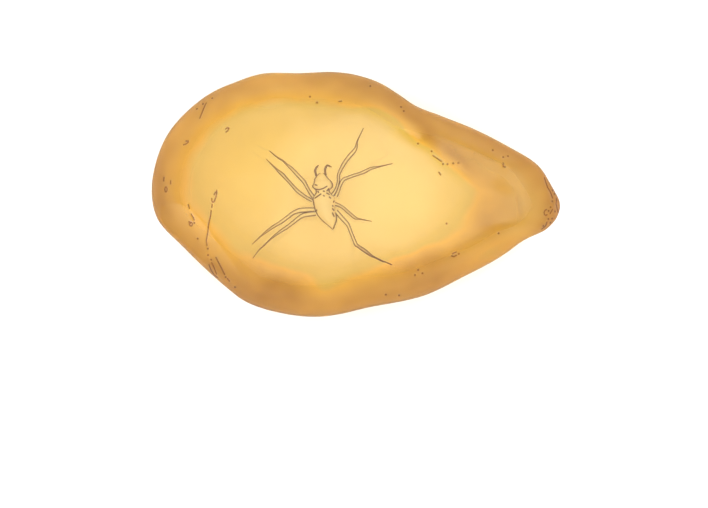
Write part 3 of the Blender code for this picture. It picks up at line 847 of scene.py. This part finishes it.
# %% Measure the legs and palps
LEGS = (  # x, y, height and radius from the hip to the tip
    ((-5.15, -0.36, 0.00, 0.23), (-5.80, 0.56, 0.20, 0.20), (-6.27, 1.39, 0.30, 0.22),
     (-7.03, 2.21, 0.25, 0.23), (-7.81, 3.03, 0.15, 0.20), (-8.30, 3.47, 0.05, 0.14),
     (-8.76, 3.90, 0.00, 0.10), (-9.42, 4.28, -0.05, 0.09), (-10.42, 5.07, -0.20, 0.04)),
    ((-5.26, -0.78, 0.00, 0.20), (-6.21, -0.26, 0.20, 0.20), (-7.00, 0.29, 0.30, 0.22),
     (-7.63, 0.94, 0.25, 0.19), (-8.23, 1.61, 0.20, 0.18), (-8.88, 2.29, 0.12, 0.20),
     (-9.32, 2.67, 0.05, 0.15), (-9.71, 3.05, 0.00, 0.09), (-10.78, 4.14, -0.20, 0.04)),
    ((-5.10, -1.89, 0.00, 0.28), (-6.00, -1.90, 0.20, 0.30), (-6.81, -1.97, 0.30, 0.30),
     (-7.49, -2.23, 0.30, 0.24), (-8.26, -2.77, 0.20, 0.24), (-8.98, -3.32, 0.12, 0.23),
     (-9.48, -3.61, 0.08, 0.20), (-10.22, -4.06, 0.02, 0.18), (-10.91, -4.61, -0.05, 0.14),
     (-11.34, -4.92, -0.10, 0.08), (-12.15, -5.58, -0.25, 0.03)),
    ((-4.88, -2.33, 0.00, 0.27), (-5.87, -2.45, 0.20, 0.29), (-6.38, -2.57, 0.28, 0.28),
     (-6.89, -2.88, 0.30, 0.26), (-7.52, -3.39, 0.28, 0.24), (-8.16, -3.89, 0.22, 0.22),
     (-8.91, -4.37, 0.15, 0.19), (-9.63, -4.89, 0.08, 0.14), (-10.23, -5.41, 0.00, 0.09),
     (-10.91, -5.97, -0.10, 0.08), (-11.40, -6.36, -0.20, 0.05), (-11.85, -6.98, -0.30, 0.03)),
    ((-2.91, -0.21, 0.00, 0.24), (-2.43, 0.52, 0.15, 0.19), (-2.18, 1.37, 0.25, 0.19),
     (-2.13, 2.26, 0.35, 0.19), (-1.57, 3.38, 0.30, 0.22), (-0.97, 4.29, 0.22, 0.25),
     (-0.40, 4.95, 0.15, 0.25), (-0.12, 5.38, 0.10, 0.19), (-0.06, 5.82, 0.05, 0.12),
     (-0.01, 6.12, 0.00, 0.08), (0.45, 7.33, -0.20, 0.03)),
    ((-2.46, -0.26, 0.00, 0.24), (-2.13, 0.44, 0.15, 0.21), (-1.93, 0.98, 0.25, 0.21),
     (-1.61, 1.56, 0.35, 0.24), (-1.30, 1.77, 0.35, 0.22), (-0.45, 2.06, 0.30, 0.20),
     (0.43, 2.33, 0.22, 0.19), (0.98, 2.54, 0.18, 0.22), (1.67, 2.89, 0.10, 0.18),
     (2.29, 3.04, 0.05, 0.14), (2.72, 3.12, 0.00, 0.09), (4.27, 3.44, -0.20, 0.04)),
    ((-2.61, -1.19, 0.00, 0.24), (-2.11, -1.35, 0.12, 0.21), (-1.60, -1.62, 0.20, 0.19),
     (-0.94, -2.18, 0.15, 0.18), (-0.21, -2.79, 0.10, 0.18), (0.14, -2.93, 0.05, 0.12),
     (0.59, -3.00, 0.00, 0.09), (1.86, -3.21, -0.20, 0.04)),
    ((-2.50, -2.04, 0.00, 0.26), (-1.68, -2.88, 0.15, 0.27), (-1.09, -3.51, 0.20, 0.26),
     (-0.84, -4.00, 0.22, 0.23), (-0.15, -5.69, 0.30, 0.22), (0.23, -6.04, 0.28, 0.15),
     (0.93, -6.38, 0.18, 0.16), (1.68, -6.71, 0.08, 0.11), (2.21, -6.89, 0.00, 0.07),
     (2.96, -7.14, -0.10, 0.06), (3.51, -7.22, -0.18, 0.04), (4.13, -7.38, -0.25, 0.03)),
)
PALPS = (  # the same
    ((-4.75, 2.05, 0.00, 0.11), (-4.87, 2.46, 0.05, 0.12), (-4.91, 2.72, 0.05, 0.13),
     (-4.76, 3.08, 0.00, 0.11), (-4.52, 3.32, -0.05, 0.04)),
    ((-3.68, 2.14, 0.00, 0.12), (-3.74, 2.50, 0.05, 0.13), (-3.73, 2.82, 0.05, 0.13),
     (-3.63, 3.11, 0.05, 0.13), (-3.45, 3.28, 0.03, 0.11), (-3.23, 3.21, 0.00, 0.09),
     (-2.94, 3.10, -0.05, 0.04)),
)
print("spider:", len(LEGS), "legs,", len(PALPS), "palps")

# %% [markdown]
# ## Tubes
# Resin has cleared the spider's skin to a golden husk. Painted shade darkens it along its sides and
# creases and at the thin tips, so from above every limb reads as two fine brown lines. A curve
# with a bevel would make the tubes, but couldn't tell their sides from their tops. Lofting rings
# of corners by hand gives each corner a painted shade for its place around the tube.

# %% Loft a tube along a run of sections
# the dark line is painted shade along the sides of a tube
LINE_END = 1.2  # so many line widths in from the side, the dark line has faded out


def smooth_run(rows, steps):
    """More rows through the given ones, by Catmull-Rom, for a run with two ends."""
    rows = np.array(rows)
    ends = np.vstack((rows[0], rows, rows[-1]))
    run = []
    for index in range(len(rows) - 1):
        before, start, end, after = ends[index:index + 4]
        for step in range(steps):
            t = step / steps
            run.append(0.5 * (2 * start + (end - before) * t
                              + (2 * before - 5 * start + 4 * end - after) * t**2
                              + (3 * start - before - 3 * end + after) * t**3))
    run.append(rows[-1])
    return np.array(run)


def tube(shape, middles, acrosses, half_widths, half_heights, sides, line_width):
    """Adds a closed tube to shape: points, faces, and painted shade, dark on the tube's sides."""
    points, faces, shades = shape
    first = len(points)
    headings = np.gradient(middles, axis=0)
    for index, middle in enumerate(middles):
        half_width, half_height = half_widths[index], half_heights[index]
        across = Vector(acrosses[index]).normalized()
        upward = Vector(headings[index]).normalized().cross(across)
        for side in range(sides):
            angle = 2 * math.pi * side / sides
            offset = half_width * math.cos(angle)
            points.append(Vector(middle) + across * offset
                          + upward * half_height * math.sin(angle))
            shade = smooth_step((abs(offset) - half_width) / line_width + LINE_END)
            shades.append(float(shade))
    for index in range(len(middles) - 1):
        near, far = first + index * sides, first + (index + 1) * sides
        for side in range(sides):
            after = (side + 1) % sides
            faces.append((near + side, near + after, far + after, far + side))
    faces.append(tuple(range(first, first + sides)))
    faces.append(tuple(range(len(points) - sides, len(points))))


print("three rows of a run in four steps make", len(smooth_run(BODY[:3], 4)), "rows")

# %% [markdown]
# ## Body first
# The body is the first and widest tube. Its rows run along y, so all its rings point straight
# across, along x. It has many sides, because fine creases are pressed into it in the next step.

# %% Loft the body
BODY_SIDES, BODY_STEPS = 96, 6
# the dark line along the body's sides is painted shade
BODY_LINE = 0.20  # width of the dark line along its sides

shape = ([], [], [])
body_run = smooth_run(BODY, BODY_STEPS)
level = np.zeros(len(body_run))
body_middles = np.column_stack(((body_run[:, 1] + body_run[:, 2]) / 2, body_run[:, 0], level))
body_half_widths = (body_run[:, 2] - body_run[:, 1]) / 2
sideways = np.tile((1.0, 0.0, 0.0), (len(body_run), 1))
tube(shape, body_middles, sideways, body_half_widths, body_run[:, 3], BODY_SIDES, BODY_LINE)
print("body:", len(shape[0]), "corners")

# %% [markdown]
# ## Creases on the back
# The husk has sunk in fine folds, one across the waist and short ones down its sides. They are
# runs of points like the scratches, each pressed in a little and darkened with painted shade.
# Where the right legs join, the body shows no dark side, so its painted side shade is taken off
# there.

# %% Crease the back
CREASES = (  # seen from above
    ((-4.94, 1.03), (-4.71, 0.98)),
    ((-5.26, 0.78), (-5.16, 0.65), (-4.90, 0.50), (-4.43, 0.46), (-3.96, 0.60), (-3.52, 0.86)),
    ((-3.96, 0.30), (-3.81, 0.27)), ((-3.54, 0.07), (-3.26, -0.08)),
    ((-3.24, -0.41), (-3.10, -0.53)), ((-3.51, 0.33), (-3.28, 0.59)),
    ((-4.60, 0.27), (-4.54, 0.14)), ((-4.94, -0.51), (-4.26, -0.06)),
    ((-3.93, -0.23), (-3.83, -0.30)), ((-2.77, -0.99), (-2.70, -0.86)),
    ((-2.88, -1.39), (-2.85, -1.49)), ((-2.90, -1.76), (-2.73, -1.96)),
    ((-2.88, -2.27), (-2.70, -2.63)), ((-4.81, -2.05), (-4.72, -1.94)),
)
CREASE_HALF_WIDTH, CREASE_DEPTH = 0.07, 0.03
CREASE_END = 1.5  # a crease ends this many half widths from its line
OPEN_SIDE, OPEN_FADE = (-2.3, -0.2), 0.2  # from and to along y, and how softly it ends

back = np.array(shape[0])
crease = np.full(len(back), FAR)
for line in CREASES:
    crease = np.minimum(crease, distance_to_path(back[:, 0], back[:, 1], line))
creased = smooth_step(CREASE_END - crease / CREASE_HALF_WIDTH) * (back[:, 2] > 0)
spine = np.interp(back[:, 1], body_run[::-1, 0], body_middles[::-1, 0])
open_side = ((back[:, 0] > spine)
             * smooth_step((back[:, 1] - OPEN_SIDE[0]) / OPEN_FADE)
             * smooth_step((OPEN_SIDE[1] - back[:, 1]) / OPEN_FADE))
# painted shade: the creases are darkened, and the side shade is taken off on the open side
for index, depth in enumerate(creased):
    shape[0][index].z -= CREASE_DEPTH * depth
    shape[2][index] = max(shape[2][index] * (1 - open_side[index]), depth)
print("creases:", len(CREASES), "over", int((creased > 0.5).sum()), "corners")

# %% [markdown]
# ## Limbs
# Every leg and palp is one tube, whose rings turn with its heading and stay level. It starts
# inside the body, so no seam shows where it joins. Its tip is kept a little thicker than life, or
# it would be lost between two pixels.

# %% Loft the limbs and make the mesh of the spider
LIMB_SIDES, LIMB_STEPS = 20, 4
# the dark lines along the legs and palps are painted shade
LEG_LINE, PALP_LINE = 0.17, 0.22  # width of the dark lines along their sides
THINNEST = 0.045

for limbs, line_width in ((LEGS, LEG_LINE), (PALPS, PALP_LINE)):
    for rows in limbs:
        run = smooth_run(rows, LIMB_STEPS)
        headings = np.gradient(run[:, :3], axis=0)
        sideways = np.column_stack((-headings[:, 1], headings[:, 0], np.zeros(len(run))))
        radii = np.maximum(run[:, 3], THINNEST)
        tube(shape, run[:, :3], sideways, radii, radii, LIMB_SIDES, line_width)
points, faces, shades = shape
lifted = [(point + Vector((0, 0, PARTING))) * MM for point in points]
spider_mesh = bpy.data.meshes.new("spider_husk")
spider_mesh.from_pydata(lifted, [], faces)
spider_mesh.shade_smooth()
corner_value(spider_mesh, "shade", np.array(shades))
spider = added("spider_husk", spider_mesh)
print("spider mesh:", len(spider_mesh.polygons), "faces")

# %% [markdown]
# ## The skin of the spider
# The painted shade at each corner mixes the husk's gold with dark brown on its sides, creases and
# tips. The skin is half matt: sealed in resin, a husk has no wet shine, and the polished crown
# above it mirrors the sky already. The piece takes the place of the plainer spider among the
# solids.

# %% Colour the spider
HUSK_COLOUR = (0.94, 0.82, 0.50, 1.0)
# painted shade on the spider's sides, creases and thin tips
SIDE_SHADE_COLOUR = (0.13, 0.03, 0.0, 1.0)
HUSK_ROUGHNESS = 0.5

chitin, husk_tree, husk = new_material("chitin")
shaded = mixed_colour(husk_tree, stored_value(husk_tree, "shade"), HUSK_COLOUR, SIDE_SHADE_COLOUR)
husk_tree.links.new(shaded, husk.inputs["Base Color"])
husk.inputs["Roughness"].default_value = HUSK_ROUGHNESS
spider_mesh.materials.append(chitin)
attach(spider, "root")
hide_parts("spider")
print("spider: gold", HUSK_COLOUR[:3], "and brown", SIDE_SHADE_COLOUR[:3])

# %% [markdown]
# ## The table
# Behind the drop the drawing is blank paper. A pale, matt plane stands in for it, wide enough to
# have no edge in the picture. It does more than fill the background: most of the light in the
# amber has gone down through the drop, met the paper and come back up. It lies a hair below the
# drop, so that the two flat faces don't fight.

# %% Lay the table
TABLE_SIZE, TABLE_DROP = 2.0, 0.00005  # in metres
PAPER_COLOUR = (0.9, 0.9, 0.9, 1)
PAPER_ROUGHNESS, PAPER_SHINE = 0.9, 0.1

bpy.ops.mesh.primitive_plane_add(size=TABLE_SIZE, location=(0, 0, -TABLE_DROP))
table = bpy.context.object
table.name = "table"
paper, _, paper_shader = new_material("paper")
paper_shader.inputs["Base Color"].default_value = PAPER_COLOUR
paper_shader.inputs["Roughness"].default_value = PAPER_ROUGHNESS
paper_shader.inputs["Specular IOR Level"].default_value = PAPER_SHINE
table.data.materials.append(paper)
print("table:", TABLE_SIZE, "m wide")

# %% [markdown]
# ## The light
# The drawing has no hard shadow and no highlight, so there is no lamp, only a soft sky. It is
# bright overhead and dims towards the horizon. An even sky would be simpler, but its image in the
# polished skin would lay a pale sheen over the whole flank.

# %% Light the sky
SKY_STRENGTH = 2.1
SKY_LEVELS = ((0.0, 0.1), (0.35, 0.35), (0.65, 1.0))  # height above the horizon, brightness

world = bpy.data.worlds.new("sky")
world.use_nodes = True
sky = world.node_tree
direction = sky.nodes.new("ShaderNodeTexCoord")
split = sky.nodes.new("ShaderNodeSeparateXYZ")
sky.links.new(direction.outputs["Generated"], split.inputs["Vector"])
greys = [(height, (level, level, level, 1.0)) for height, level in SKY_LEVELS]
sky_colour = colour_run(sky, split.outputs["Z"], greys)
sky.links.new(sky_colour, sky.nodes["Background"].inputs["Color"])
sky.nodes["Background"].inputs["Strength"].default_value = SKY_STRENGTH
bpy.context.scene.world = world
print("sky: strength", SKY_STRENGTH, "overhead")

# %% [markdown]
# ## How far light is followed
# Light in a clear thing goes in, down to the paper, back up and out, and often round inside the
# skin first. Each turn is a bounce, and light that runs out of bounces goes black, so there are
# plenty of them. The Standard view keeps white paper white, where a film-like one would grey it.

# %% Allow many bounces
BOUNCES = 32

bpy.context.scene.view_settings.view_transform = "Standard"
for kind in ("max_bounces", "glossy_bounces", "transmission_bounces", "diffuse_bounces"):
    setattr(bpy.context.scene.cycles, kind, BOUNCES)
print("bounces:", BOUNCES)
